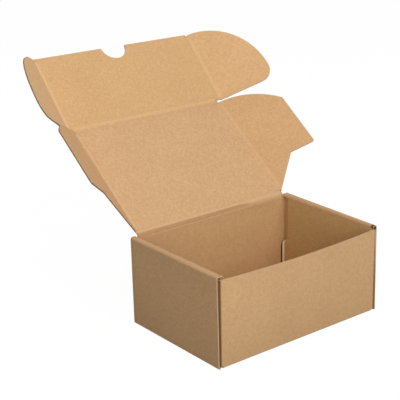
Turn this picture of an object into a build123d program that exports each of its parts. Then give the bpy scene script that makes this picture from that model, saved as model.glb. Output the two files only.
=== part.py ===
from build123d import *

import os
from math import cos, radians, sin

# A mailer box folded from one sheet of kraft corrugated board, standing open.
# Millimetres. The origin is the middle of the base's underside, +Z is up,
# the front wall faces -Y and the lid hinges on the back wall.

# Board
board = 1.5             # thickness of the sheet
fold_room = 0.5         # a square fold takes up this much beyond the board's thickness
fold_round = 1.0        # outside radius of a fold
roll_round = 2.0        # outside radius of the softer folds on top of a rolled wall
layer_gap = 0.2         # air between layers that are folded together
crease_gap = 0.3        # air between the two sides of a crease that moves

# Tray, outside
tray_width = 200.0
tray_depth = 130.0
tray_height = 89.0
left_spring = 1.2       # the left wall's top springs outwards by this much at the front
left_spring_rear = 0.5
right_spring = -1.4     # the right wall's top leans in at the front and out at the rear
right_spring_rear = 2.3
front_drop = 4.4        # the front wall stops this far below the rolled tops
rear_drop = 2.2         # and the back wall's corners this far, under the rolls' folds
front_bow = 4.8         # the front wall's free top edge bows outwards by this much
wall_setback = 0.2      # side walls end this far inside the front and back faces

# Rolled side walls
ear_slot = 1.6          # pocket between outer side wall and corner flap
inner_wall_front = 3.0  # inner side wall starts this far behind the front face
inner_wall_rear = 9.0   # and its upper part ends this far before the back face
lower_rear = 2.6        # its lower part reaches nearer the back
shoulder_top = 44.0
shoulder_bottom = 34.0
lip_length = 1.8        # rear end of the lower part, curled into the tray
lip_angle = 55.0
tab_width = 22.0
tab_spacing = 64.0
tab_recess = 0.15       # tab ends this far above the table
slot_clearance = 0.25

# Corner flaps
corner_flap = 58.0
corner_round = 8.0

# Lid and its dust flaps
lid_open = 143.3        # angle between the lid and its closed place
lid_slack = 3.5         # closed lid reaches this far past the front wall
flap_clearance = 0.3    # folded dust flap to inner side wall
dust_flap_reach = 66.6
dust_corner = 103.0     # where the round far corner meets the straight edge
dust_step = 38.9        # straight rear edge of the wide part
dust_step_reach = 36.7  # where the slanted root meets that edge
dust_tip_round = 2.0
dust_far_gap = 2.1      # to the front flap when that is folded square
dust_far_straight = 2.0
left_dust_fold = 45.4
right_dust_fold = 21.0

# Tuck flap and its ears
tuck_fold = 9.6
tuck_lift = 1.25        # closed tuck flap ends this far above the table
tuck_shoulder = 1.6
notch_radius = 15.3
notch_rise = 0.9        # the notch's centre lies this far beyond the free edge
ear_reach = 67.9
ear_corner = 14.7
ear_foot = 0.6          # ear starts this far past the lid's far crease
ear_drop = 1.3          # ear ends this far short of the tuck flap's edge
ear_crown_round = 1.5
left_ear_fold = 46.2
right_ear_fold = 28.6

# Sizes that follow
outer_bend = board + fold_room
half_board = board / 2
half_width = tray_width / 2
half_depth = tray_depth / 2
front_top = tray_height - front_drop
rear_top = tray_height - rear_drop
fold_end = outer_bend + 0.1
corner_outer = half_width - board - ear_slot
corner_inner = corner_outer - board
inner_wall_outer = corner_inner - layer_gap
inner_wall_inner = inner_wall_outer - board
crease_clear = half_board + crease_gap
hinge_y = half_depth - half_board
hinge_z = tray_height + half_board
lid_half = inner_wall_inner - flap_clearance - half_board
lid_length = tray_depth + lid_slack
tuck_half = half_width - board - ear_slot / 2
tuck_length = hinge_z - tuck_lift
lap = 1.0


def section(points, side, rounds):
    """Cross-section of board folded along a path of its outer face, laid to that side of it."""
    sheet = make_face(offset(Polyline(*points), amount=board, side=side))
    for point, radius in zip(points[1:-1], rounds):
        sheet = fillet(sheet.vertices().sort_by_distance((*point, 0))[0], radius)
    return sheet


def folded(points, plane, length, side):
    """Straight length of folded board, half of it on each side of the plane."""
    rounds = [fold_round] * (len(points) - 2)
    return extrude(plane * section(points, side, rounds), length / 2, both=True)


def plate(outline):
    """Flat board about the plane that its outline lies in."""
    return extrude(make_face(outline), half_board, both=True)


def crease_edge(start, end):
    """Round edge of the board that carries a moving panel, about the crease's axis."""
    along = Vector(end) - Vector(start)
    return Plane(origin=start, z_dir=along) * Cylinder(
        half_board, along.length, align=(Align.CENTER, Align.CENTER, Align.MIN)
    )


def block(x_range, y_range, z_range):
    """Box between two corners, for cuts and tabs."""
    low = (min(x_range), min(y_range), min(z_range))
    size = [abs(b - a) for a, b in (x_range, y_range, z_range)]
    return Pos(*low) * Box(*size, align=(Align.MIN, Align.MIN, Align.MIN))


def base():
    half_x = half_width - outer_bend
    half_y = half_depth - outer_bend
    sheet = block((-half_x, half_x), (-half_y, half_y), (0, board))
    for x in (-1, 1):
        for y in (-tab_spacing / 2, tab_spacing / 2):
            sheet -= block(
                (x * (inner_wall_inner - slot_clearance), x * (inner_wall_outer + slot_clearance)),
                (y - tab_width / 2 - slot_clearance, y + tab_width / 2 + slot_clearance),
                (-1, board + 1),
            )
    return sheet


def end_wall(side):
    """Front (-1) or back (+1) wall, with its two corner flaps."""
    flat_half = corner_outer - outer_bend
    bottom = folded(
        [(side * (half_depth - outer_bend - lap), 0), (side * half_depth, 0),
         (side * half_depth, fold_end + lap)],
        Plane.YZ,
        2 * flat_half,
        Side.LEFT if side > 0 else Side.RIGHT,
    )
    flap_end = side * (half_depth - corner_flap)
    plan = [(-corner_outer, flap_end), (-corner_outer, side * half_depth),
            (corner_outer, side * half_depth), (corner_outer, flap_end)]
    height = (rear_top if side > 0 else front_top) - fold_end
    middle = Plane.XY.offset(fold_end + height / 2)
    upright = folded(plan, middle, height, Side.RIGHT if side > 0 else Side.LEFT)
    flap_ends = upright.edges().filter_by(Axis.X).group_by(Axis.Y)[0 if side > 0 else -1]
    return bottom + fillet(flap_ends, corner_round)


def bowed_plan(bow):
    """Plan of the front wall between its corners, bowed outwards in the middle."""
    half = corner_outer - outer_bend
    outline = [Line((x, -half_depth), (x, board - half_depth)) for x in (-half, half)]
    for y in (-half_depth, board - half_depth):
        ends = [(-half, y), (half, y)]
        outline.append(ThreePointArc(ends[0], (0, y - bow), ends[1]) if bow else Line(*ends))
    return make_face(outline)


def bowed_panel():
    """The front wall between its corners: straight at the bottom, bowed at its free top edge."""
    foot = Plane.XY.offset(fold_end + lap) * bowed_plan(0)
    rim = Plane.XY.offset(front_top) * bowed_plan(front_bow)
    return loft([foot, rim], ruled=True)


def front_wall():
    half = corner_outer - outer_bend
    flat = block((-half, half), (-half_depth - 1, board - half_depth), (fold_end + lap, front_top + 1))
    return end_wall(-1) - flat + bowed_panel()


def rear_cut(x):
    """What is cut off an inner side wall's rear edge: a step with an S-shaped shoulder."""
    upper = half_depth - inner_wall_rear
    lower = half_depth - lower_rear
    top = tray_height - outer_bend
    bottom = board + layer_gap
    middle = ((upper + lower) / 2, (shoulder_top + shoulder_bottom) / 2)
    first = TangentArc((upper, shoulder_top), middle, tangent=(0, -1))
    second = TangentArc(middle, (lower, shoulder_bottom), tangent=first % 1)
    outline = (
        Line((upper, top), (upper, shoulder_top)) + first + second
        + Polyline((lower, shoulder_bottom), (lower, bottom), (half_depth, bottom),
                   (half_depth, top), (upper, top))
    )
    inside = inner_wall_inner - 2 * lip_length
    outside = inner_wall_outer + layer_gap / 2
    origin = (x * (inside + outside) / 2, 0, 0)
    cutter = Plane(origin=origin, x_dir=(0, 1, 0), z_dir=(1, 0, 0)) * make_face(outline)
    return extrude(cutter, (outside - inside) / 2, both=True)


def rear_lip(x):
    """The lower rear end of an inner side wall, curled into the tray."""
    turn = half_depth - lower_rear - lip_length * cos(radians(lip_angle))
    tip = (inner_wall_inner - lip_length * sin(radians(lip_angle)), half_depth - lower_rear)
    bottom = board + layer_gap
    height = shoulder_top - bottom
    points = [(inner_wall_inner, turn - 2 * lap), (inner_wall_inner, turn), tip]
    lip = folded(points, Plane.XY.offset(bottom + height / 2), height, Side.RIGHT)
    return lip if x > 0 else mirror(lip, about=Plane.YZ)


def side_wall(x, spring, spring_rear):
    """Left (-1) or right (+1) wall: up, over and down inside, with tabs in the base's slots."""
    wall_half = half_depth - wall_setback
    bottom = board + layer_gap
    ends = []
    for y, lean in ((-wall_half, spring), (wall_half, spring_rear)):
        path = [(x * (half_width - outer_bend - lap), 0), (x * half_width, 0),
                (x * (half_width + lean), tray_height), (x * inner_wall_inner, tray_height),
                (x * inner_wall_inner, bottom)]
        rounds = [fold_round, roll_round, roll_round]
        ends.append(Plane.XZ.offset(-y) * section(path, Side.LEFT if x > 0 else Side.RIGHT, rounds))
    wall = loft(ends, ruled=True)

    # The inner wall is shorter than the outer one, and its top crease runs on to the ends
    crease_z = tray_height - outer_bend
    inner = (x * (inner_wall_inner - lap), x * (inner_wall_outer + layer_gap / 2))
    front_end = -half_depth + inner_wall_front
    turn = half_depth - lower_rear - lip_length * cos(radians(lip_angle))
    wall -= block(inner, (-half_depth, front_end), (bottom - lap, crease_z))
    wall -= block(inner, (turn - lap, half_depth), (bottom - lap, crease_z))
    wall += rear_lip(x)
    wall -= rear_cut(x)

    # Bottom tabs stand in the base's slots
    for y in (-tab_spacing / 2, tab_spacing / 2):
        wall += block((x * inner_wall_inner, x * inner_wall_outer),
                      (y - tab_width / 2, y + tab_width / 2), (tab_recess, bottom + lap))

    # Where two bottom folds would meet at a corner, the sheet is slotted
    for y in (-1, 1):
        wall -= block((x * (half_width - outer_bend - 2 * lap), x * (half_width - outer_bend)),
                      (y * (half_depth - outer_bend), y * half_depth), (-lap, outer_bend))
    return wall


def hinge_tongue():
    """The back wall's top, between the rolled side walls, up to the lid's crease."""
    tongue_half = lid_half - crease_gap
    sheet = block((-tongue_half, tongue_half), (half_depth - board, half_depth), (fold_end, hinge_z))
    return sheet + crease_edge((-tongue_half, hinge_y, hinge_z), (tongue_half, hinge_y, hinge_z))


def tray():
    sheet = base() + front_wall() + end_wall(1) + hinge_tongue()
    sheet += side_wall(-1, left_spring, left_spring_rear)
    sheet += side_wall(1, right_spring, right_spring_rear)
    return sheet


def lid():
    """Drawn flat: X across the box, Y away from the hinge, +Z the face that is inside when closed."""
    sheet = plate(Polyline((-lid_half, crease_clear), (lid_half, crease_clear),
                           (lid_half, lid_length), (-lid_half, lid_length), close=True))
    for x in (-lid_half, lid_half):
        sheet += crease_edge((x, crease_clear, 0), (x, lid_length, 0))
    return sheet + crease_edge((-lid_half, lid_length, 0), (lid_half, lid_length, 0))


def tuck_flap():
    """Drawn flat from the lid's far crease, with the thumb notch in its free edge."""
    sheet = plate(Polyline((-lid_half, crease_clear), (lid_half, crease_clear),
                           (tuck_half, tuck_shoulder), (tuck_half, tuck_length),
                           (-tuck_half, tuck_length), (-tuck_half, tuck_shoulder), close=True))
    for x in (-tuck_half, tuck_half):
        sheet += crease_edge((x, tuck_shoulder, 0), (x, tuck_length - ear_drop, 0))
    return sheet - Pos(0, tuck_length + notch_rise, 0) * Cylinder(notch_radius, 2 * board)


def ear():
    """Right ear, drawn flat from its crease: a quarter ellipse on a rounded foot."""
    foot = ear_foot
    crown = tuck_length - ear_drop
    waist = foot + ear_corner
    outline = (
        Polyline((crease_clear, crown), (crease_clear, foot), (ear_reach - ear_corner, foot))
        + TangentArc((ear_reach - ear_corner, foot), (ear_reach, waist), tangent=(1, 0))
        + EllipticalCenterArc((crease_clear, waist), ear_reach - crease_clear, crown - waist, arc_size=90)
    )
    sheet = plate(outline)
    crown_corner = sheet.edges().filter_by(Axis.Z).sort_by_distance((crease_clear, crown, 0))[0]
    return fillet(crown_corner, ear_crown_round)


def dust_flap():
    """Right dust flap, drawn flat from its crease: round far corner, square step, slanted root."""
    far = lid_length - half_board - dust_far_gap
    root = dust_step - (dust_step_reach - crease_clear)
    start = crease_clear + dust_far_straight
    outline = (
        Line((crease_clear, far), (start, far))
        + TangentArc((start, far), (dust_flap_reach, dust_corner), tangent=(1, 0))
        + Polyline((dust_flap_reach, dust_corner), (dust_flap_reach, dust_step),
                   (dust_step_reach, dust_step), (crease_clear, root), (crease_clear, far))
    )
    sheet = plate(outline)
    tip = sheet.edges().filter_by(Axis.Z).sort_by_distance((dust_flap_reach, dust_step, 0))[0]
    return fillet(tip, dust_tip_round)


def side_panel(flat, parent, crease_x, side, fold):
    """Puts a right-hand panel at its crease, mirrored for the left, folded towards the inside."""
    panel = flat if side > 0 else mirror(flat, about=Plane.YZ)
    return parent * Location((side * crease_x, 0, 0), (0, -side * fold, 0)) * panel


lid_normal = (0, -sin(radians(lid_open)), -cos(radians(lid_open)))
lid_place = Plane(origin=(0, hinge_y, hinge_z), x_dir=(1, 0, 0), z_dir=lid_normal).location
tuck_place = lid_place * Location((0, lid_length, 0), (tuck_fold, 0, 0))

parts = {
    "tray": tray(),
    "lid": lid_place * lid(),
    "tuck_flap": tuck_place * tuck_flap(),
    "dust_flap_left": side_panel(dust_flap(), lid_place, lid_half, -1, left_dust_fold),
    "dust_flap_right": side_panel(dust_flap(), lid_place, lid_half, 1, right_dust_fold),
    "ear_left": side_panel(ear(), tuck_place, tuck_half, -1, left_ear_fold),
    "ear_right": side_panel(ear(), tuck_place, tuck_half, 1, right_ear_fold),
}

os.makedirs("parts", exist_ok=True)
for name, shape in parts.items():
    export_step(shape, f"parts/{name}.step")
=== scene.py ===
import math

import bpy
import numpy as np
from mathutils import Matrix, Vector


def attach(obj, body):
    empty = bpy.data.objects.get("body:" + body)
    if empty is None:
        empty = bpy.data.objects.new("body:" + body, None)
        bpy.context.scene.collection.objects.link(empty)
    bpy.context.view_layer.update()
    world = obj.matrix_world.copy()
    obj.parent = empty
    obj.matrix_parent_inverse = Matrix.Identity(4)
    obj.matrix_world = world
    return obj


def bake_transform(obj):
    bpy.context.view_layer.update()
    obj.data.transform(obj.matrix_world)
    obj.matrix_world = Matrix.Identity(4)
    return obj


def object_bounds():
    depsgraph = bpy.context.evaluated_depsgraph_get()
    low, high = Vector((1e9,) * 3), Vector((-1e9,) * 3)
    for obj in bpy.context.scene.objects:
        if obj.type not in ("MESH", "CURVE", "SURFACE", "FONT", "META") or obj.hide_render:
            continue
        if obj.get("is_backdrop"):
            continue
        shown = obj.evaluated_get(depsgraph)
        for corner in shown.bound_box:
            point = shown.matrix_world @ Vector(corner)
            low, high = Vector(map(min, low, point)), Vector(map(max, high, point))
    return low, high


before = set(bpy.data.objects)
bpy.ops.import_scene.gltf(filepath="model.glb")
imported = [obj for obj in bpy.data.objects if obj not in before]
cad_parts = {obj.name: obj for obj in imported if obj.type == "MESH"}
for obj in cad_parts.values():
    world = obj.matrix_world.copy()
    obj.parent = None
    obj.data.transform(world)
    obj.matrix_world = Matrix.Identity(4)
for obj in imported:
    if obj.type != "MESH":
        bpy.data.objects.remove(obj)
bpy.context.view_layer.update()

# Sizes of the box, in millimetres, as in the part's source
BOARD = 1.5
HALF = BOARD / 2
BEND, ROUND, ROLL_ROUND = 2.0, 1.0, 2.0
HALF_W, HALF_D, HEIGHT = 100.0, 65.0, 89.0
SPRING = {(-1, -1): 1.2, (-1, 1): 0.5, (1, -1): -1.4, (1, 1): 2.3}
FRONT_TOP, REAR_TOP = 84.6, 86.8
FRONT_BOW, BOW_HALF = 4.8, 94.9
SETBACK = 0.2
CORNER_X = 96.9
CORNER_FLAP, CORNER_ROUND = 58.0, 8.0
INNER_X, INNER_BOTTOM = 93.7, 1.7
INNER_FRONT, INNER_REAR, LOWER_REAR = 3.0, 9.0, 2.6
SHOULDER_TOP, SHOULDER_BOTTOM = 44.0, 34.0
HINGE = np.array([0.0, 64.25, 89.75])
LID_OPEN, LID_HALF, LID_LENGTH = 143.3, 92.65, 133.5
TUCK_FOLD, TUCK_HALF, TUCK_LENGTH, TUCK_SHOULDER = 9.6, 97.7, 88.5, 1.6
NOTCH, NOTCH_RISE = 15.3, 0.9
CREASE_GAP = 0.3
CLEAR = HALF + CREASE_GAP       # from a crease's axis to the edge of the panel that moves
DUST_FOLD = {-1: 45.4, 1: 21.0}
DUST_FAR, DUST_REACH, DUST_CORNER = 130.65, 66.6, 103.0
DUST_STEP, DUST_STEP_REACH, DUST_TIP = 38.9, 36.7, 2.0
DUST_FAR_STRAIGHT, DUST_ROOT, DUST_FOOT = 2.0, 4.4, 2.1
EAR_FOLD = {-1: 46.2, 1: 28.6}
EAR_REACH, EAR_CORNER, EAR_FOOT, EAR_DROP, EAR_CROWN = 67.9, 14.7, 0.6, 1.3, 1.5
FLUTE = 3.3                     # pitch of the flutes


def vec(*v):
    return np.array(v, float)


def unit(v):
    v = np.asarray(v, float)
    return v / np.linalg.norm(v)


def turn(v, axis, angle):
    """Rows of v turned about an axis through the origin; angle may be one per row."""
    v = np.atleast_2d(v)
    c = np.cos(angle)
    s = np.sin(angle)
    if np.ndim(c):
        c, s = c[:, None], s[:, None]
    return v * c + np.cross(axis, v) * s + axis * (v @ axis)[:, None] * (1 - c)


# Frames of the panels: origin, reach, length and inside normal. Flutes lie along the length
X, Y, Z = vec(1, 0, 0), vec(0, 1, 0), vec(0, 0, 1)
open_angle = math.radians(LID_OPEN)
fold_angle = math.radians(TUCK_FOLD)
LID_Y = vec(0, -math.cos(open_angle), math.sin(open_angle))
LID_N = vec(0, -math.sin(open_angle), -math.cos(open_angle))
TUCK_Y = LID_Y * math.cos(fold_angle) + LID_N * math.sin(fold_angle)
TUCK_N = LID_N * math.cos(fold_angle) - LID_Y * math.sin(fold_angle)
FAR = HINGE + LID_LENGTH * LID_Y


def side_frame(origin, length, normal, side, fold):
    f = math.radians(fold)
    reach = side * math.cos(f) * X + math.sin(f) * normal
    inside = math.cos(f) * normal - side * math.sin(f) * X
    return origin, reach, length, inside


FRAMES = {
    "lid": (HINGE, X, LID_Y, LID_N),
    "tuck_flap": (FAR, X, TUCK_Y, TUCK_N),
    "dust_flap_left": side_frame(HINGE - LID_HALF * X, LID_Y, LID_N, -1, DUST_FOLD[-1]),
    "dust_flap_right": side_frame(HINGE + LID_HALF * X, LID_Y, LID_N, 1, DUST_FOLD[1]),
    "ear_left": side_frame(FAR - TUCK_HALF * X, TUCK_Y, TUCK_N, -1, EAR_FOLD[-1]),
    "ear_right": side_frame(FAR + TUCK_HALF * X, TUCK_Y, TUCK_N, 1, EAR_FOLD[1]),
}
BACK_WALL = (HINGE, X, Z, -Y)


# Materials
def new_material(name):
    mat = bpy.data.materials.new(name)
    mat.use_nodes = True
    nt = mat.node_tree
    nt.nodes.clear()
    out = nt.nodes.new("ShaderNodeOutputMaterial")
    bsdf = nt.nodes.new("ShaderNodeBsdfPrincipled")
    nt.links.new(bsdf.outputs[0], out.inputs[0])
    return mat, nt, bsdf


def noise(nt, vector, scale, detail, rough=0.5):
    n = nt.nodes.new("ShaderNodeTexNoise")
    n.inputs["Scale"].default_value = scale
    n.inputs["Detail"].default_value = detail
    n.inputs["Roughness"].default_value = rough
    nt.links.new(vector, n.inputs["Vector"])
    return n.outputs["Fac"]


def ramp(nt, value, low, high, to_low=0.0, to_high=1.0):
    r = nt.nodes.new("ShaderNodeMapRange")
    r.inputs["From Min"].default_value = low
    r.inputs["From Max"].default_value = high
    r.inputs["To Min"].default_value = to_low
    r.inputs["To Max"].default_value = to_high
    nt.links.new(value, r.inputs["Value"])
    return r.outputs["Result"]


def math_node(nt, operation, a, b):
    m = nt.nodes.new("ShaderNodeMath")
    m.operation = operation
    for socket, value in zip(m.inputs, (a, b)):
        if isinstance(value, (int, float)):
            socket.default_value = value
        else:
            nt.links.new(value, socket)
    return m.outputs[0]


def product(nt, first, *others):
    for other in others:
        first = math_node(nt, "MULTIPLY", first, other)
    return first


def slope(nt, place, start, end, to_low=0.0, to_high=1.0):
    """A ramp between two places in millimetres, which runs backwards where the end is the smaller one."""
    return ramp(nt, place, start / 1000, end / 1000, to_low, to_high)


def separate(nt, vector):
    node = nt.nodes.new("ShaderNodeSeparateXYZ")
    nt.links.new(vector, node.inputs[0])
    return node.outputs


def attribute(nt, name):
    node = nt.nodes.new("ShaderNodeAttribute")
    node.attribute_name = name
    return node.outputs["Fac"]


def add_bump(nt, bsdf, height, strength, distance):
    bump = nt.nodes.new("ShaderNodeBump")
    bump.inputs["Strength"].default_value = strength
    bump.inputs["Distance"].default_value = distance
    nt.links.new(height, bump.inputs["Height"])
    nt.links.new(bump.outputs[0], bsdf.inputs["Normal"])


def mix(nt, factor, a, b, blend="MIX"):
    m = nt.nodes.new("ShaderNodeMix")
    m.data_type = "RGBA"
    m.blend_type = blend
    for index, value in ((0, factor), (6, a), (7, b)):
        socket = m.inputs[index]
        if isinstance(value, (int, float)):
            socket.default_value = value
        elif isinstance(value, tuple):
            socket.default_value = (*value, 1)
        else:
            nt.links.new(value, socket)
    return m.outputs[2]


def shade(colour, red, green, blue):
    return tuple(min(1.0, c * k) for c, k in zip(colour, (red, green, blue)))


# Unbleached kraft liner, what lies in it and on it, and the painted shade put on it
KRAFT = (0.60, 0.375, 0.190)
CLOUDS = shade(KRAFT, 0.972, 0.966, 0.957), shade(KRAFT, 1.018, 1.021, 1.026)
BROWN = shade(KRAFT, 0.78, 0.72, 0.64)
PALE = shade(KRAFT, 1.20, 1.24, 1.32)
# This dark brown is the colour of the liner's flecks, and also of painted shade at the front corner folds
# and along the creases
FLECK_AND_SHADE = shade(KRAFT, 0.45, 0.37, 0.30)
# Painted shade on the rolled walls' top folds, on the right one's inner side, and in the right roll's front
# mouth
PAINTED_ROLL_TOP_SHADE = (0.448, 0.282, 0.160)
PAINTED_FOLD_SHADE = (0.26, 0.145, 0.066)
ROLL_MOUTH_SHADE = (0.10, 0.055, 0.022)


def painted_tray_shade(nt, colour, place):
    """Adds painted shade to the liner's colour at places on the tray."""
    x, y, z = separate(nt, place)
    across = math_node(nt, "ABSOLUTE", x, 0.0)
    depth = math_node(nt, "ABSOLUTE", y, 0.0)

    # Painted shade on the folds on top of the rolled walls, darker and greyer, and more of it at the right
    # one's inner side
    top = product(nt, slope(nt, z, 87.6, 88.8), slope(nt, across, 93, 93.8))
    colour = mix(nt, product(nt, top, 0.5), colour, PAINTED_ROLL_TOP_SHADE)
    inner_fold_shade = product(nt, top, slope(nt, x, 93.6, 96.2, 0.4, 0.0), slope(nt, x, 0, 10))
    colour = mix(nt, inner_fold_shade, colour, PAINTED_FOLD_SHADE)

    # Painted shade in the dark slots at the front corner folds, the right one only low down
    corner = product(nt, slope(nt, across, 95.7, 96.6), slope(nt, y, -62, -63),
                     slope(nt, across, 98.4, 97.8))
    amount = mix(nt, slope(nt, x, -1, 1), (0.75, 0.75, 0.75), slope(nt, z, 70, 45, 0.0, 0.3))
    colour = mix(nt, product(nt, corner, amount), colour, FLECK_AND_SHADE)

    # Painted shade: the walls' feet and the back wall's inside are a little darker, and the right wall's
    # inside gets a greener painted tint of its shade
    outside = math_node(nt, "MAXIMUM", slope(nt, across, 95.5, 96.5), slope(nt, depth, 64.0, 64.5))
    foot = product(nt, outside, slope(nt, z, 60, 0))
    colour = mix(nt, foot, colour, (0.90, 0.90, 0.90), "MULTIPLY")
    below_rim = slope(nt, z, 86.5, 85)
    back = product(nt, slope(nt, y, 60, 61.5), slope(nt, y, 64.5, 64.2), below_rim)
    colour = mix(nt, back, colour, (0.94, 0.93, 0.89), "MULTIPLY")
    right = product(nt, slope(nt, x, 91.5, 92.5), slope(nt, x, 95, 94.6), below_rim,
                    slope(nt, depth, 63.2, 62.8))
    colour = mix(nt, right, colour, (1.02, 1.08, 0.95), "MULTIPLY")

    # Painted shade inside the front mouth of the right wall's roll
    mouth = product(nt, slope(nt, x, 92.5, 93.5), slope(nt, x, 98.8, 98.4), slope(nt, y, -61.2, -62),
                    slope(nt, z, 84.8, 85.3))
    return mix(nt, mouth, colour, ROLL_MOUTH_SHADE)


def kraft(name, axes, panel_light=None, marked=False, parent_panel_light=None, tray=False):
    """The liner. axes are the panel's reach, length and normal; fibres lie along the length.

    A crease's liner is marked: paler where rubbed, partly wear and partly a painted highlight, darker with
    painted shade, and on each side of the painted light of the panel there."""
    mat, nt, bsdf = new_material(name)
    coord = nt.nodes.new("ShaderNodeTexCoord").outputs["Object"]
    parts = nt.nodes.new("ShaderNodeCombineXYZ")
    for i, axis in enumerate(axes):
        dot = nt.nodes.new("ShaderNodeVectorMath")
        dot.operation = "DOT_PRODUCT"
        dot.inputs[1].default_value = tuple(float(c) for c in axis)
        nt.links.new(coord, dot.inputs[0])
        nt.links.new(dot.outputs["Value"], parts.inputs[i])
    place = parts.outputs[0]
    along_fibres = nt.nodes.new("ShaderNodeMapping")
    along_fibres.inputs["Scale"].default_value = (1, 0.25, 1)
    nt.links.new(place, along_fibres.inputs["Vector"])
    along_fibres = along_fibres.outputs[0]

    cloud = noise(nt, place, 24, 2, 0.5)
    formation = noise(nt, place, 340, 3, 0.6)
    fibres = noise(nt, along_fibres, 1500, 3, 0.6)
    hairs = noise(nt, along_fibres, 900, 1, 0.4)
    specks = noise(nt, place, 620, 2, 0.5)

    colour = mix(nt, ramp(nt, cloud, 0.30, 0.70), *CLOUDS)
    colour = mix(nt, ramp(nt, formation, 0.38, 0.66, 0.0, 0.44), colour, BROWN)
    colour = mix(nt, ramp(nt, fibres, 0.46, 0.78, 0.0, 0.66), colour, BROWN)
    colour = mix(nt, ramp(nt, hairs, 0.60, 0.74, 0.0, 0.42), colour, PALE)
    colour = mix(nt, ramp(nt, specks, 0.700, 0.76, 0.0, 0.75), colour, FLECK_AND_SHADE)

    # The flutes show faintly through the liner
    phase = math_node(nt, "MULTIPLY", separate(nt, place)[0], 2 * math.pi * 1000 / FLUTE)
    band = ramp(nt, math_node(nt, "SINE", phase, 0.0), -1, 1)
    colour = mix(nt, product(nt, band, 0.03), colour, BROWN)

    if tray:
        colour = painted_tray_shade(nt, colour, place)
    if marked:
        rubbed_and_highlight = product(nt, attribute(nt, "rubbed_and_highlight"), ramp(nt, formation, 0.15, 0.55, 0.4, 1.2))
        colour = mix(nt, rubbed_and_highlight, colour, PALE)
        colour = mix(nt, attribute(nt, "painted_shade"), colour, FLECK_AND_SHADE)
    if panel_light:
        colour = mix(nt, attribute(nt, "child") if marked else 1.0, colour, panel_light, "MULTIPLY")
    if parent_panel_light:
        share = math_node(nt, "SUBTRACT", 1.0, attribute(nt, "child"))
        colour = mix(nt, share, colour, parent_panel_light, "MULTIPLY")
    nt.links.new(colour, bsdf.inputs["Base Color"])
    bsdf.inputs["Specular IOR Level"].default_value = 0.2
    nt.links.new(ramp(nt, formation, 0, 1, 0.78, 0.95), bsdf.inputs["Roughness"])

    height = math_node(nt, "ADD", product(nt, formation, 0.6), product(nt, fibres, 0.35))
    height = math_node(nt, "ADD", height, product(nt, band, 0.3))
    add_bump(nt, bsdf, height, 0.3, 0.00012)
    return mat


def inner_paper(name, base, wall_ends=False):
    """Paper of the cut edges, and the dark sheets of painted shade in the flutes' hollows and gaps."""
    mat, nt, bsdf = new_material(name)
    coord = nt.nodes.new("ShaderNodeTexCoord").outputs["Object"]
    torn = noise(nt, coord, 1800, 3, 0.6)
    colour = mix(nt, ramp(nt, torn, 0.3, 0.7), shade(base, 0.75, 0.73, 0.7), base)
    if wall_ends:
        # Painted shade: the front right end's dark sheet is made lighter over most of its height, where it
        # is pressed shut, and darker in its mouth
        x, y, z = separate(nt, coord)
        corner = product(nt, slope(nt, x, 0, 10), slope(nt, y, -61.5, -62.5))
        shut = product(nt, corner, slope(nt, z, 30, 65, 0.0, 0.9), slope(nt, z, 84.0, 83.5))
        colour = mix(nt, shut, colour, (0.60, 0.45, 0.31))
        mouth = product(nt, corner, slope(nt, z, 84.5, 85.5))
        colour = mix(nt, mouth, colour, (0.085, 0.046, 0.018))
    nt.links.new(colour, bsdf.inputs["Base Color"])
    bsdf.inputs["Specular IOR Level"].default_value = 0.15
    bsdf.inputs["Roughness"].default_value = 0.95
    add_bump(nt, bsdf, torn, 0.4, 0.0001)
    return mat


cut_paper = inner_paper("cut_paper", (0.66, 0.46, 0.275))
# FLUTE_SHADE and the shades below are painted shade: dark sheets where the flutes' hollows and the gaps lie
# in shadow; the rims' is lighter
FLUTE_SHADE = (0.17, 0.105, 0.058)
flute_shade = inner_paper("flute_shade", FLUTE_SHADE)
wall_shade = inner_paper("wall_end_shade", FLUTE_SHADE, wall_ends=True)
rim_shade = inner_paper("rim_shade", (0.52, 0.345, 0.19))
gap_shade = inner_paper("gap_shade", (0.10, 0.05, 0.022))
# The lip's pale paper is partly the torn liner's own colour and partly a painted highlight
lip_paper_and_highlight = inner_paper("lip_paper_and_highlight", (0.95, 0.74, 0.50))

# Painted light: each panel gets a small change of brightness and tint of its own, for how the light falls
# on it
PAINTED_PANEL_LIGHT = {
    "lid": (1.0, 0.995, 1.035),
    "tuck_flap": (1.035, 1.025, 0.985),
    "dust_flap_left": (0.97, 0.95, 0.96),
    "dust_flap_right": (1.0, 0.97, 0.94),
    "ear_left": (1.08, 1.13, 1.18),
    "ear_right": (1.09, 1.08, 1.06),
}
MATERIALS = {name: kraft("kraft_" + name, FRAMES[name][1:], PAINTED_PANEL_LIGHT.get(name)) for name in FRAMES}
MATERIALS["tray"] = kraft("kraft_tray", (X, Y, Z), tray=True)
for name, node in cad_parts.items():
    node.data.materials.clear()
    node.data.materials.append(MATERIALS[name])


# Meshes are made in millimetres and stored in metres
def make_object(name, verts, faces, materials, indices=None, smooth=False):
    mesh = bpy.data.meshes.new(name)
    mesh.from_pydata([tuple(v) for v in np.asarray(verts) / 1000], [], faces)
    for m in materials:
        mesh.materials.append(m)
    if indices is not None:
        mesh.polygons.foreach_set("material_index", indices)
    if smooth:
        mesh.polygons.foreach_set("use_smooth", [True] * len(mesh.polygons))
    mesh.update()
    obj = bpy.data.objects.new(name, mesh)
    bpy.context.scene.collection.objects.link(obj)
    return obj


def needed(points, slack=0.012, longest=60):
    """The samples that a strip has to keep so that its line stays within the slack."""
    keep = [0]
    last = len(points) - 1
    while keep[-1] < last:
        a = keep[-1]
        b = a + 1
        while b < last and b - a < longest:
            share = (np.arange(1, b + 1 - a) / (b + 1 - a))[:, None]
            chord = points[a] + (points[b + 1] - points[a]) * share
            if np.abs(points[a + 1:b + 1] - chord).max() > slack:
                break
            b += 1
        keep.append(b)
    return np.array(keep)


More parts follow.
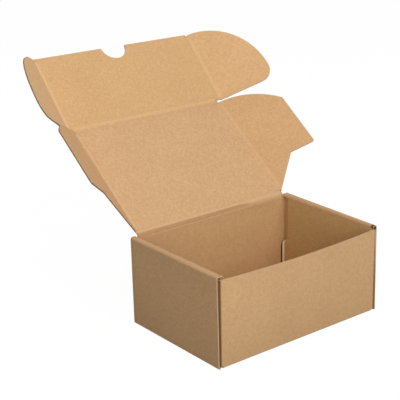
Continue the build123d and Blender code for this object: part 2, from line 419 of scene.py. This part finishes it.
# Cut edges: how far the strips stand out, their heights from the middle of the board, the flutes' wave
SUNK, SHADE_PROUD, FLUTE_PROUD, LINER_PROUD = 0.05, 0.02, 0.2, 0.26
SHADE_HALF, LINER_INNER, LINER_OUTER, OPEN_LINER_TOP = 0.73, 0.52, 0.742, 0.05
WAVE, WAVE_HALF = 0.44, 0.085
SAMPLE, LONG_SAMPLE = 0.3, 6                    # steps across the flutes and along them
PAPER, SHADE = 0, 1                             # material slots


class Edges:
    """Cut edges of a panel: two liners and the fluted medium stand just proud of the shade between them.

    Where the folded board is open inside, one wide liner takes the place of all three."""

    def __init__(self, shade_material=flute_shade, open_inside=False):
        self.verts, self.faces, self.mats, self.count = [], [], [], 0
        self.shade_material, self.open_inside = shade_material, open_inside

    def ribbon(self, points, outward, across, low, high, depth, material):
        """A closed strip along points, between two heights across the board, which may vary."""
        n = len(points)
        root = points - outward * SUNK
        face = points + outward * depth
        low = np.broadcast_to(low, n)[:, None]
        high = np.broadcast_to(high, n)[:, None]
        low, high = across * low, across * high
        loops = np.stack([root + low, face + low, face + high, root + high], 1)
        start = self.count
        self.verts.append(loops.reshape(-1, 3))
        self.count += 4 * n
        for i in range(n - 1):
            a = start + 4 * i
            b = a + 4
            for j in range(4):
                k = (j + 1) % 4
                self.faces.append((a + j, b + j, b + k, a + k))
                self.mats.append(material)
        for a in (start, start + 4 * (n - 1)):
            quad = (a, a + 1, a + 2, a + 3)
            self.faces.append(quad if a == start else quad[::-1])
            self.mats.append(material)

    def add(self, points, outward, across, flute):
        """points, outward and across are one row per sample; flute is the place along the flutes' wave."""
        outward = np.broadcast_to(outward, points.shape)
        across = np.broadcast_to(across, points.shape)
        keep = needed(np.hstack([points, across]))
        line = (points[keep], outward[keep], across[keep])
        self.ribbon(*line, -SHADE_HALF, SHADE_HALF, SHADE_PROUD, SHADE)
        if self.open_inside:
            self.ribbon(*line, -LINER_OUTER, OPEN_LINER_TOP, FLUTE_PROUD, PAPER)
            return
        self.ribbon(*line, -LINER_OUTER, -LINER_INNER, LINER_PROUD, PAPER)
        self.ribbon(*line, LINER_INNER, LINER_OUTER, LINER_PROUD, PAPER)
        wave = WAVE * np.sin(2 * math.pi * np.asarray(flute) / FLUTE)
        keep = needed(np.hstack([points, across, wave[:, None]]))
        line, wave = (points[keep], outward[keep], across[keep]), wave[keep]
        self.ribbon(*line, wave - WAVE_HALF, wave + WAVE_HALF, FLUTE_PROUD, PAPER)

    def build(self, name, body):
        materials = [cut_paper, self.shade_material]
        obj = make_object(name, np.concatenate(self.verts), self.faces, materials, self.mats)
        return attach(obj, body)


def sampled(path, flute_axis):
    """Points along a 2D path, close together where the flutes' wave is crossed."""
    path = np.asarray(path, float)
    out = [path[:1]]
    for a, b in zip(path[:-1], path[1:]):
        length = np.linalg.norm(b - a)
        if length < 1e-9:
            continue
        crossing = abs((b - a)[flute_axis])
        count = max(1, math.ceil(crossing / SAMPLE), math.ceil(length / LONG_SAMPLE))
        out.append(a + (b - a) * (np.arange(1, count + 1) / count)[:, None])
    return np.concatenate(out)


def arc(centre, radius, start, end, steps=24):
    a = np.radians(np.linspace(start, end, steps + 1))
    rx, ry = radius if isinstance(radius, tuple) else (radius, radius)
    return np.stack([centre[0] + rx * np.cos(a), centre[1] + ry * np.sin(a)], 1)


def left_normals(points):
    """Unit normals to the left of the way along a row of points."""
    d = np.gradient(points, axis=0)
    d /= np.linalg.norm(d, axis=1)[:, None]
    return np.stack([-d[:, 1], d[:, 0]], 1)


def smooth_stretches(path, sharpest=20):
    """Splits a 2D path where it turns by more than the sharpest angle, in degrees."""
    step = np.diff(path, axis=0)
    step /= np.linalg.norm(step, axis=1)[:, None]
    turns = np.degrees(np.arccos(np.clip((step[:-1] * step[1:]).sum(1), -1, 1)))
    corners = [0] + [i + 1 for i in range(len(turns)) if turns[i] > sharpest] + [len(path) - 1]
    return [path[a:b + 1] for a, b in zip(corners[:-1], corners[1:])]


def panel_edge(edges, frame_of, path):
    """Adds the cut edge along a path drawn flat in a panel, which keeps the board on its right."""
    origin, reach, length, normal = frame_of
    for stretch in smooth_stretches(np.asarray(path, float)):
        flat = sampled(stretch, 0)
        out2 = left_normals(flat)
        points = origin + flat[:, :1] * reach + flat[:, 1:] * length
        outward = out2[:, :1] * reach + out2[:, 1:] * length
        edges.add(points, outward, normal, flat[:, 0])


# Front flap: shoulders, free edge and thumb notch
def tuck_outline():
    sunk = math.degrees(math.asin(NOTCH_RISE / NOTCH))
    notch = arc((0, TUCK_LENGTH + NOTCH_RISE), NOTCH, 180 + sunk, 360 - sunk, 40)
    ends = [(-TUCK_HALF, TUCK_LENGTH), *notch, (TUCK_HALF, TUCK_LENGTH)]
    left = [(-LID_HALF - 0.2, CLEAR + 0.02), (-TUCK_HALF + 0.4, TUCK_SHOULDER)]
    right = [(TUCK_HALF - 0.4, TUCK_SHOULDER), (LID_HALF + 0.2, CLEAR + 0.02)]
    return left, ends, right


def dust_outline():
    start = vec(CLEAR + DUST_FAR_STRAIGHT, DUST_FAR)
    dx, dy = DUST_REACH - start[0], DUST_CORNER - start[1]
    radius = (dx * dx + dy * dy) / (-2 * dy)
    centre = (start[0], start[1] - radius)
    stop = math.degrees(math.atan2(DUST_CORNER - centre[1], dx))
    round_corner = arc(centre, radius, 90, stop, 60)
    tip = arc((DUST_REACH - DUST_TIP, DUST_STEP + DUST_TIP), DUST_TIP, 0, -90, 8)
    root = [(DUST_STEP_REACH, DUST_STEP), (CLEAR, DUST_STEP - (DUST_STEP_REACH - CLEAR))]
    return np.concatenate([[(CLEAR, DUST_FAR)], round_corner, tip, root])


def ear_outline():
    crown, waist = TUCK_LENGTH - EAR_DROP, EAR_FOOT + EAR_CORNER
    corner = arc((CLEAR + EAR_CROWN, crown - EAR_CROWN), EAR_CROWN, 180, 90, 6)
    start = math.degrees(math.acos(EAR_CROWN / (EAR_REACH - CLEAR)))
    top = arc((CLEAR, waist), (EAR_REACH - CLEAR, crown - waist), start, 0, 60)
    foot = arc((EAR_REACH - EAR_CORNER, waist), EAR_CORNER, 0, -90, 24)
    return np.concatenate([corner, top[1:], foot[1:], [(CLEAR, EAR_FOOT)]])


tuck = Edges()
for stretch in tuck_outline():
    panel_edge(tuck, FRAMES["tuck_flap"], stretch)
tuck.build("tuck_flap_edges", "tuck_flap")
for kind, outline in (("dust_flap", dust_outline()), ("ear", ear_outline())):
    for word in ("left", "right"):
        edges = Edges()
        panel_edge(edges, FRAMES[f"{kind}_{word}"], outline)
        edges.build(f"{kind}_{word}_edges", f"{kind}_{word}")


# Tray: rims and ends of the corner flaps, ends of the rolled walls, ends of the inner walls
rims, wall_ends = Edges(rim_shade), Edges(wall_shade, open_inside=True)


def fold_lines(corners, side, rounds=None, spacing=SAMPLE):
    """Matched points on the two faces of folded board, from the corners of its outer face.

    Folds are round outside and sharp inside. side is 1 where the board lies to the left of the path."""
    rounds = rounds or [ROUND] * (len(corners) - 2)
    corners = [vec(*c) for c in corners]
    ways = [unit(b - a) for a, b in zip(corners[:-1], corners[1:])]
    inwards = [side * vec(-w[1], w[0]) for w in ways]
    outer, inner = [corners[0][None]], [(corners[0] + BOARD * inwards[0])[None]]

    def run(outer_end, inner_end):
        a, b = outer[-1][-1], inner[-1][-1]
        count = max(1, math.ceil(np.linalg.norm(outer_end - a) / spacing))
        share = (np.arange(1, count + 1) / count)[:, None]
        outer.append(a + (outer_end - a) * share)
        inner.append(b + (inner_end - b) * share)

    for here, before, after, way, bend in zip(corners[1:-1], inwards[:-1], inwards[1:], ways[:-1], rounds):
        angle = math.acos(before @ after)
        inside = here + BOARD * (before + after) / (1 + before @ after)
        centre = here - bend * math.tan(angle / 2) * way + bend * before
        run(centre - bend * before, inside)
        share = np.linspace(0, 1, 7)[1:, None]
        spoke = before * np.sin((1 - share) * angle) + after * np.sin(share * angle)
        outer.append(centre - bend * spoke / math.sin(angle))
        inner.append(np.tile(inside, (6, 1)))
    run(corners[-1], corners[-1] + BOARD * inwards[-1])
    return np.concatenate(outer), np.concatenate(inner)


def fold_edge(edges, outer, inner, place, outward):
    """Cut edge between matched points of the board's two faces; place puts them into the tray."""
    middle = (outer + inner) / 2
    steps = np.linalg.norm(np.diff(middle, axis=0), axis=1)
    s = np.concatenate([[0], np.cumsum(steps)])
    edges.add(place(middle), outward, (place(inner) - place(outer)) / BOARD, s)


def on_level(z):
    return lambda p: np.column_stack([p, np.full(len(p), z)])


def across_depth(y):
    return lambda p: np.column_stack([p[:, 0], np.full(len(p), y), p[:, 1]])


def bow(x):
    """How far the front wall's free edge stands out."""
    radius = (BOW_HALF ** 2 + FRONT_BOW ** 2) / (2 * FRONT_BOW)
    return np.sqrt(radius ** 2 - x ** 2) - (radius - FRONT_BOW)


rim_start = CORNER_FLAP - CORNER_ROUND
left_corner = fold_lines([(-CORNER_X, rim_start - HALF_D), (-CORNER_X, -HALF_D), (-BOW_HALF, -HALF_D)], 1)
right_corner = fold_lines([(BOW_HALF, -HALF_D), (CORNER_X, -HALF_D), (CORNER_X, rim_start - HALF_D)], 1)
bow_x = np.linspace(-BOW_HALF, BOW_HALF, math.ceil(2 * BOW_HALF / SAMPLE) + 1)[1:-1]
bow_outer = np.column_stack([bow_x, -HALF_D - bow(bow_x)])
front_outer = np.concatenate([left_corner[0], bow_outer, right_corner[0]])
front_inner = np.concatenate([left_corner[1], bow_outer + vec(0, BOARD), right_corner[1]])
fold_edge(rims, front_outer, front_inner, on_level(FRONT_TOP), Z)

FLAP_BOTTOM = BEND + 0.1
for x in (-1, 1):
    rear = [(x * CORNER_X, HALF_D - rim_start), (x * CORNER_X, HALF_D),
            (x * (LID_HALF - CREASE_GAP), HALF_D)]
    fold_edge(rims, *fold_lines(rear, x), on_level(REAR_TOP), Z)
    for y in (-1, 1):
        end = HALF_D - CORNER_FLAP
        level = FRONT_TOP if y < 0 else REAR_TOP
        top = arc((end + CORNER_ROUND, level - CORNER_ROUND), CORNER_ROUND, 90, 180, 12)
        low = arc((end + CORNER_ROUND, FLAP_BOTTOM + CORNER_ROUND), CORNER_ROUND, 180, 270, 12)
        flat = sampled(np.concatenate([top, low]), 0)
        out2 = -left_normals(flat)
        n = len(flat)
        place = np.column_stack([np.full(n, x * (CORNER_X - HALF)), y * flat[:, 0], flat[:, 1]])
        outward = np.column_stack([np.zeros(n), y * out2[:, 0], out2[:, 1]])
        rims.add(place, outward, x * X, flat[:, 0])

        # End of the rolled wall
        spring = SPRING[x, y]
        profile = [(x * (HALF_W - BEND), 0), (x * HALF_W, 0), (x * (HALF_W + spring), HEIGHT),
                   (x * INNER_X, HEIGHT), (x * INNER_X, HEIGHT - BEND)]
        rounds = [ROUND, ROLL_ROUND, ROLL_ROUND]
        end_place = across_depth(y * (HALF_D - SETBACK))
        fold_edge(wall_ends, *fold_lines(profile, x, rounds), end_place, y * Y)


SHOULDER_STEPS = 12


def shoulder():
    """The rear cut of an inner side wall in Y and Z: down, out over an S-shaped shoulder, and down."""
    upper, lower = HALF_D - INNER_REAR, HALF_D - LOWER_REAR
    dy, dz = (lower - upper) / 2, (SHOULDER_TOP - SHOULDER_BOTTOM) / 2
    radius = (dy * dy + dz * dz) / (2 * dy)
    half_turn = math.degrees(math.asin(dz / radius))
    first = arc((upper + radius, SHOULDER_TOP), radius, 180, 180 + half_turn, SHOULDER_STEPS)
    second = arc((lower - radius, SHOULDER_BOTTOM), radius, half_turn, 0, SHOULDER_STEPS)
    return np.concatenate([[(upper, HEIGHT - BEND)], first, second[1:]])


inner_y = INNER_FRONT - HALF_D
front_cut = [(inner_y, HEIGHT - BEND), (inner_y, INNER_BOTTOM)]
for x in (-1, 1):
    middle = x * (INNER_X + HALF)
    for path, outward in ((front_cut, -1), (shoulder(), 1)):
        flat = sampled(path, 1)
        out2 = outward * left_normals(flat)
        place = np.column_stack([np.full(len(flat), middle), flat])
        wall_ends.add(place, np.column_stack([np.zeros(len(flat)), out2]), x * X, flat[:, 1])
rims.build("tray_rims", "tray")
wall_ends.build("tray_wall_ends", "tray")


def strip(name, first, second, lift, material, body="tray"):
    """A closed strip between two matched lines, as thick as the lift."""
    first, second = np.asarray(first, float), np.asarray(second, float)
    n = len(first)
    loops = np.stack([first, second, second + lift, first + lift], 1)
    faces = [(4 * i + j, 4 * i + 4 + j, 4 * i + 4 + (j + 1) % 4, 4 * i + (j + 1) % 4)
             for i in range(n - 1) for j in range(4)]
    faces += [(0, 1, 2, 3), tuple(4 * n - 4 + j for j in (3, 2, 1, 0))]
    obj = make_object(name, loops.reshape(-1, 3), faces, [material])
    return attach(obj, body)


# Rear ends of the inner walls: below the shoulder the liner curls off the board, paler partly as a painted
# highlight, and a dark sheet on the back wall paints the shade in the gap
LIP, LIP_THICKNESS = 1.4, 0.25
CURL_TOP, CURL_RUN = 39.5, 4                    # where the curl starts, and the height it grows over
GAP_TOP, GAP_RUN, GAP_WIDTH = 38, 5, 1.9
GAP_X, GAP_STEPS = 92.9, 24
lip_path = shoulder()[SHOULDER_STEPS:]
lip_path = sampled(np.concatenate([lip_path, [(HALF_D - LOWER_REAR, INNER_BOTTOM + 0.6)]]), 1)
for x, word in ((-1, "left"), (1, "right")):
    n = len(lip_path)
    curl = np.clip((CURL_TOP - lip_path[:, 1]) / CURL_RUN, 0.15, 1)
    root = np.column_stack([np.full(n, x * (INNER_X - 0.02)), lip_path[:, 0] - LIP, lip_path[:, 1]])
    tip = np.column_stack([x * (INNER_X - 0.05 - LIP * curl), lip_path[:, 0] + 0.1, lip_path[:, 1]])
    strip(f"wall_lip_{word}", root, tip, vec(0, LIP_THICKNESS, 0), lip_paper_and_highlight)
    z = np.linspace(INNER_BOTTOM + 0.5, GAP_TOP, GAP_STEPS)
    wide = np.clip((GAP_TOP - z) / GAP_RUN, 0, 1)
    wall = np.full(GAP_STEPS, HALF_D - BOARD + 0.02)
    inner = np.column_stack([x * (GAP_X - GAP_WIDTH * wide), wall, z])
    outer = np.column_stack([x * (GAP_X + 0.05 + 0.3 * wide), wall, z])
    strip(f"corner_gap_{word}", inner, outer, vec(0, -0.06, 0), gap_shade)


# Creases that move: one sheet of board bends there, and the pressed line stands up a little inside
CREASE_REACH, CREASE_LINE = 5.0, 1.3            # half-widths of the band and of its bend
CREASE_SAMPLES, CREASE_STEP = 33, 2             # across it, and the step along it
CREASE_PROUD, CREASE_EDGE = 0.012, 0.03         # above the panels at its edges, and a little in from them
OUTER_RIDGE = 0.35                              # share of the pressed line that shows outside


def eased(share):
    share = np.clip(share, 0, 1)
    return share * share * (3 - 2 * share)


def stretch(t, start, end, fade):
    """1 between start and end, fading to 0 outside them."""
    return eased(np.minimum(t - start, end - t) / fade)


def crease(name, parent, child, origin, along, span, parent_in, panel, bend, marks, ridge=0.1,
           foot=CREASE_REACH):
    """along is the crease's axis; parent_in points from it into the parent panel; bend turns the child.

    marks are bands along the crease: place across it, width, amount, paler where positive (partly rubbed
    wear, partly a painted highlight) and darker where negative (painted shade), and optionally the stretch
    it shows on and its fade. ridge is the height of the pressed line, and foot the child's width where the
    crease starts."""
    parent_normal = panel[3]
    count = math.ceil((span[1] - span[0]) / CREASE_STEP) + 1
    t = np.linspace(*span, count)
    s_in = np.linspace(-CREASE_REACH, CREASE_REACH, CREASE_SAMPLES)
    verts, rubbed_and_highlight, painted_shade, child_share = [], [], [], []
    for here in t:
        room = min(1, (foot + here - span[0]) / CREASE_REACH)
        s_row = np.where(s_in > 0, s_in * room, s_in)
        bulge = np.exp(-(s_row / CREASE_LINE) ** 2)
        skin = HALF + CREASE_PROUD + CREASE_EDGE * (np.abs(s_in) < CREASE_REACH - 0.1)
        top = skin + ridge * bulge
        bottom = OUTER_RIDGE * ridge * bulge - skin
        s = np.concatenate([s_row, s_row[::-1]])
        h = np.concatenate([top, bottom[::-1]])
        w = eased((s + CREASE_LINE) / (2 * CREASE_LINE))
        ring = turn(s[:, None] * -parent_in + h[:, None] * parent_normal, along, w * bend)
        verts.append(origin + here * along + ring)
        amounts = np.zeros((2, len(s_row)))
        for place, width, amount, *ends in marks:
            local = amount * (stretch(here, *ends[0]) if ends else 1)
            amounts[0 if amount > 0 else 1] += abs(local) * np.exp(-((s_row - place) / width) ** 2)
        unmarked = np.zeros(len(s_row))
        rubbed_and_highlight.append(np.concatenate([amounts[0], unmarked]))
        painted_shade.append(np.concatenate([amounts[1], unmarked]))
        child_share.append(w)
    m = len(ring)
    faces = []
    for i in range(count - 1):
        for j in range(m):
            k = (j + 1) % m
            faces.append((i * m + j, (i + 1) * m + j, (i + 1) * m + k, i * m + k))
    faces.append(tuple(range(m)))
    faces.append(tuple((count - 1) * m + j for j in reversed(range(m))))
    material = kraft("kraft_" + name, panel[1:], PAINTED_PANEL_LIGHT.get(child), True, PAINTED_PANEL_LIGHT.get(parent))
    obj = make_object(name, np.concatenate(verts), faces, [material], smooth=True)
    for word, values in (("rubbed_and_highlight", rubbed_and_highlight), ("painted_shade", painted_shade), ("child", child_share)):
        layer = obj.data.attributes.new(word, "FLOAT", "POINT")
        layer.data.foreach_set("value", np.concatenate(values).astype(np.float32))
    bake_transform(obj)
    return obj


# Bands along the creases are painted shade and highlight, the pale ones partly rubbed wear. The lid's hinge
# has a second score line below it, drawn only in painted shade and highlight, plain at the left and gone at
# the right
LID_MARKS = [(0.3, 0.6, -0.52, (-110, 50, 18)), (2.1, 0.8, 0.25), (-2.1, 0.5, -0.34, (-110, 25, 40)),
             (-3.4, 0.7, 0.27, (-60, 55, 25)), (-1.3, 1.2, 0.7, (40, 110, 12))]
TUCK_MARKS = [(1.7, 1.7, 0.24), (-2.8, 1.0, -0.07)]
lid_span = (-LID_HALF, LID_HALF)
crease("lid_crease", "tray", "lid", HINGE, X, lid_span, -Z, BACK_WALL, math.pi / 2 - open_angle, LID_MARKS)
crease("tuck_crease", "lid", "tuck_flap", FAR, X, lid_span, -LID_Y, FRAMES["lid"], fold_angle, TUCK_MARKS,
       ridge=0.12)
DUST_MARKS = {-1: [(-2.1, 1.1, 0.2)], 1: [(2.3, 1.5, 0.22)]}
EAR_MARKS = {-1: [(-1.5, 1.3, 0.42)], 1: [(2.6, 1.4, 0.22), (-1.4, 1.0, -0.05)]}
for side, word in ((-1, "left"), (1, "right")):
    ridge = 0.1 if side < 0 else 0.04
    crease(f"dust_crease_{word}", "lid", f"dust_flap_{word}", HINGE + side * LID_HALF * X, LID_Y,
           (DUST_ROOT, DUST_FAR), -side * X, FRAMES["lid"], -side * math.radians(DUST_FOLD[side]),
           DUST_MARKS[side], ridge, foot=DUST_FOOT)
    crease(f"ear_crease_{word}", "tuck_flap", f"ear_{word}", FAR + side * TUCK_HALF * X, TUCK_Y,
           (TUCK_SHOULDER, TUCK_LENGTH - EAR_DROP - EAR_CROWN), -side * X, FRAMES["tuck_flap"],
           -side * math.radians(EAR_FOLD[side]), EAR_MARKS[side], ridge)


# Stage: white floor and surroundings, soft studio light
def seen_directly(nt):
    """1 for rays that the camera sees, straight or by way of a shine, 0 for rays that light the object."""
    rays = nt.nodes.new("ShaderNodeLightPath")
    seen = math_node(nt, "MAXIMUM", rays.outputs["Is Camera Ray"], rays.outputs["Is Glossy Ray"])
    return math_node(nt, "MAXIMUM", seen, rays.outputs["Is Transmission Ray"])


def mix_shaders(nt, share, first, second=None):
    """With no second shader, the first fades to black."""
    mixer = nt.nodes.new("ShaderNodeMixShader")
    for socket, value in zip(mixer.inputs, (share, first, second)):
        if value is not None:
            nt.links.new(value, socket)
    return mixer.outputs[0]


FLOOR_HALF = 6
FLOOR_GREY = 0.42       # what the floor throws back at the object
FLOOR_GLOW = 0.97       # what the camera sees of it, with only a little of the shade on it
UNSHADED = 0.9
AMBIENT = 0.1
floor_mesh = bpy.data.meshes.new("floor")
floor_corners = [(x * FLOOR_HALF, y * FLOOR_HALF, 0) for x, y in ((-1, -1), (1, -1), (1, 1), (-1, 1))]
floor_mesh.from_pydata(floor_corners, [], [(0, 1, 2, 3)])
floor = bpy.data.objects.new("floor", floor_mesh)
bpy.context.scene.collection.objects.link(floor)
floor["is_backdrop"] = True
floor_mat = bpy.data.materials.new("floor_white")
floor_mat.use_nodes = True
nt = floor_mat.node_tree
nt.nodes.clear()
out = nt.nodes.new("ShaderNodeOutputMaterial")
diffuse = nt.nodes.new("ShaderNodeBsdfDiffuse")
diffuse.inputs["Color"].default_value = (FLOOR_GREY, FLOOR_GREY, FLOOR_GREY, 1)
glow = nt.nodes.new("ShaderNodeEmission")
seen = seen_directly(nt)
nt.links.new(product(nt, seen, FLOOR_GLOW), glow.inputs["Strength"])
lit = nt.nodes.new("ShaderNodeAddShader")
nt.links.new(mix_shaders(nt, product(nt, seen, UNSHADED), diffuse.outputs[0]), lit.inputs[0])
nt.links.new(glow.outputs[0], lit.inputs[1])
nt.links.new(lit.outputs[0], out.inputs[0])
floor_mesh.materials.append(floor_mat)

world = bpy.data.worlds.new("studio")
bpy.context.scene.world = world
world.use_nodes = True
nt = world.node_tree
nt.nodes.clear()
out = nt.nodes.new("ShaderNodeOutputWorld")
backgrounds = []
for strength in (AMBIENT, 1.0):
    background = nt.nodes.new("ShaderNodeBackground")
    background.inputs["Color"].default_value = (1, 1, 1, 1)
    background.inputs["Strength"].default_value = strength
    backgrounds.append(background.outputs[0])
nt.links.new(mix_shaders(nt, seen_directly(nt), *backgrounds), out.inputs[0])


def lamp(name, place, size, power):
    data = bpy.data.lights.new(name, "AREA")
    data.shape = "SQUARE"
    data.size = size
    data.energy = power
    obj = bpy.data.objects.new(name, data)
    bpy.context.scene.collection.objects.link(obj)
    obj.location = place
    obj.rotation_euler = (LIT_POINT - Vector(place)).to_track_quat("-Z", "Y").to_euler()


LIT_POINT = Vector((0, 0.05, 0.1))
lamp("front", (0, -1.568, 1.276), 1.2, 19.1)
lamp("left", (-0.94, -1.578, 0.784), 1.2, 18.2)
lamp("top", (0, 0.15, 1.2), 1.0, 5.1)
lamp("right", (1.85, 0.35, 0.95), 1.4, 7)
lamp("back", (-0.4, 2.0, 0.8), 1.6, 13)

# Camera at the photograph's angle, with its focal length and width in pixels
FOCAL_LENGTH, PICTURE_WIDTH = 1112.858, 400
cam_data = bpy.data.cameras.new("camera")
cam_data.sensor_width = 36
cam_data.lens = FOCAL_LENGTH / PICTURE_WIDTH * cam_data.sensor_width
cam_data.clip_start, cam_data.clip_end = 0.05, 50
camera = bpy.data.objects.new("camera", cam_data)
bpy.context.scene.collection.objects.link(camera)
right = vec(0.7835982, -0.6209910, -0.0185468)
down = vec(-0.2147705, -0.2427543, -0.9460148)
forward = vec(0.5829644, 0.7452788, -0.3235924)
matrix = Matrix.Identity(4)
for i in range(3):
    matrix[i][0], matrix[i][1], matrix[i][2] = right[i], -down[i], -forward[i]
matrix.translation = Vector((-0.6566496, -0.7541499, 0.4628578))
camera.matrix_world = matrix
bpy.context.scene.camera = camera
bpy.context.scene.view_settings.view_transform = "Standard"

low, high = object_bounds()
